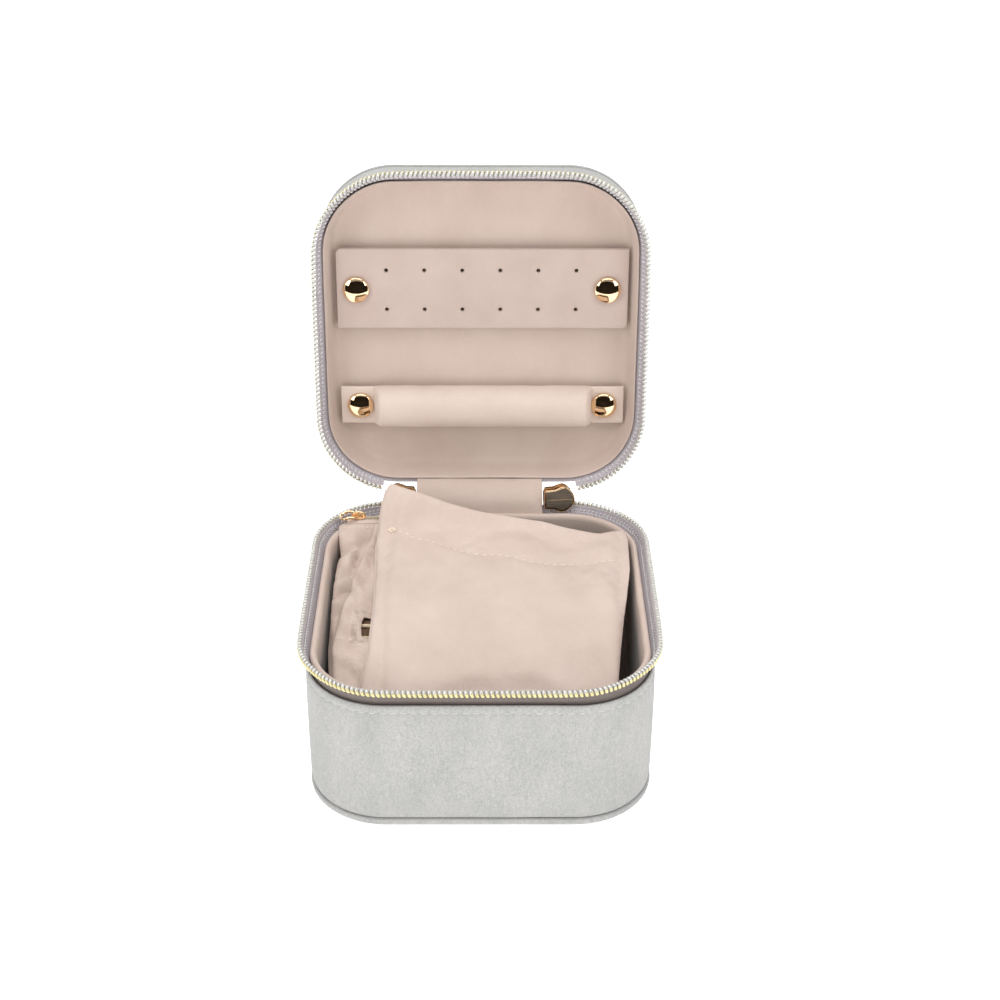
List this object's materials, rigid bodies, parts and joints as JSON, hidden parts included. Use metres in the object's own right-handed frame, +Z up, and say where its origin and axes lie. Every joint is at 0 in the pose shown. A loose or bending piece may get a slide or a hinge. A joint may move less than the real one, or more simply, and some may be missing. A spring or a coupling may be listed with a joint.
{
  "type": "travel jewelry case",
  "caption": "Open square travel jewelry case, zipped velvet shell, hinged lid with earring card and ring roll, lined tray holding fabric pouches.",
  "frame": {"origin": "middle of the flat underside that the case stands on", "axes": "+Z up, +X to the right seen from the open front, +Y towards the hinge at the back"},
  "size_m": [0.11, 0.1424, 0.163],
  "materials": {
    "velvet": "short-pile velvet, mottled nap",
    "lining": "brushed microsuede",
    "pouch": "brushed microsuede, thinner and paler",
    "board": "grey card board or foam, hidden",
    "tape": "woven zip tape",
    "teeth": "metallised nylon coil, silver and pale gold",
    "gold": "polished rose gold plate",
    "cord": "twisted cord",
    "zip": "nylon zip"
  },
  "bodies": {
    "base": {"base_bottom_panel": "velvet", "base_bottom_board": "board", "base_wall_shell": "velvet", "base_wall_board": "board", "base_zip_tape": "tape", "base_zip_teeth": "teeth", "tray_wall": "lining", "tray_floor_board": "board", "tray_floor_pad": "lining", "hinge_outer": "velvet", "hinge_inner": "lining"},
    "lid": {"lid_zip_teeth": "teeth", "lid_zip_tape": "tape", "lid_wall_shell": "velvet", "lid_wall_board": "board", "lid_top_panel": "velvet", "lid_top_board": "board", "lid_foam_pad": "board", "lid_lining_panel": "lining", "lid_lining_wall": "lining", "snap_socket_card_left": "gold", "snap_socket_card_right": "gold", "snap_socket_roll_left": "gold", "snap_socket_roll_right": "gold"},
    "earring_card": {"earring_card_face": "lining", "earring_card_board": "board", "snap_cap_card_left": "gold", "snap_cap_card_right": "gold"},
    "ring_roll": {"ring_roll": "lining", "ring_tab_left": "lining", "ring_tab_right": "lining", "snap_cap_roll_left": "gold", "snap_cap_roll_right": "gold"},
    "slider_right": {"slider_right": "gold"},
    "pull_right": {"pull_right": "gold"},
    "slider_left": {"slider_left": "gold"},
    "pull_left": {"pull_left": "gold"},
    "zip_pouch": {"zip_pouch_front": "pouch", "zip_pouch_back": "pouch", "zip_pouch_zip": "zip"},
    "zip_pouch_slider": {"zip_pouch_slider": "gold"},
    "zip_pouch_pull": {"zip_pouch_pull": "gold"},
    "drawstring_pouch": {"drawstring_pouch_front": "pouch", "drawstring_pouch_back": "pouch", "drawstring_cord": "cord"},
    "hemmed_pouch": {"hemmed_pouch_front": "pouch", "hemmed_pouch_back": "pouch"}
  },
  "joints": [
    {"name": "lid_hinge", "type": "hinge", "parent": "base", "child": "lid", "pos_m": [0, 0.0564, 0.0522], "axis": [-1, 0, 0], "range_deg": [-96.2, 75], "deforming": ["hinge_outer", "hinge_inner"]},
    {"name": "earring_card_lift", "type": "slide", "parent": "lid", "child": "earring_card", "axis": [0, -0.9941, 0.1087], "range_m": [0, 0.045]},
    {"name": "ring_roll_lift", "type": "slide", "parent": "lid", "child": "ring_roll", "axis": [0, -0.9941, 0.1087], "range_m": [0, 0.045]},
    {"name": "slider_right_run", "type": "hinge", "parent": "base", "child": "slider_right", "pos_m": [0.0285, 0.0285, 0.053], "axis": [0, 0, -1], "range_deg": [0, 70]},
    {"name": "pull_right_swing", "type": "hinge", "parent": "slider_right", "child": "pull_right", "pos_m": [0.02599, 0.05759, 0.0521], "axis": [-0.9963, -0.0859, 0], "range_deg": [-75, 0]},
    {"name": "slider_left_run", "type": "hinge", "parent": "base", "child": "slider_left", "pos_m": [-0.0285, 0.0285, 0.053], "axis": [0, 0, 1], "range_deg": [0, 70]},
    {"name": "pull_left_swing", "type": "hinge", "parent": "slider_left", "child": "pull_left", "pos_m": [-0.02738, 0.05768, 0.0521], "axis": [-0.9993, 0.0384, 0], "range_deg": [-75, 0]},
    {"name": "zip_pouch_lift", "type": "slide", "parent": "base", "child": "zip_pouch", "axis": [0, 0, 1], "range_m": [0, 0.07]},
    {"name": "zip_pouch_slider_run", "type": "slide", "parent": "zip_pouch", "child": "zip_pouch_slider", "axis": [1, 0, 0], "range_m": [0, 0.036]},
    {"name": "zip_pouch_pull_swing", "type": "hinge", "parent": "zip_pouch_slider", "child": "zip_pouch_pull", "pos_m": [-0.0402, 0.0432, 0.05275], "axis": [-0.2588, 0.9659, 0], "range_deg": [0, 170]},
    {"name": "drawstring_pouch_lift", "type": "slide", "parent": "zip_pouch", "child": "drawstring_pouch", "axis": [0, 0, 1], "range_m": [0, 0.07]},
    {"name": "hemmed_pouch_lift", "type": "slide", "parent": "drawstring_pouch", "child": "hemmed_pouch", "axis": [0, 0, 1], "range_m": [0, 0.07]}
  ]
}
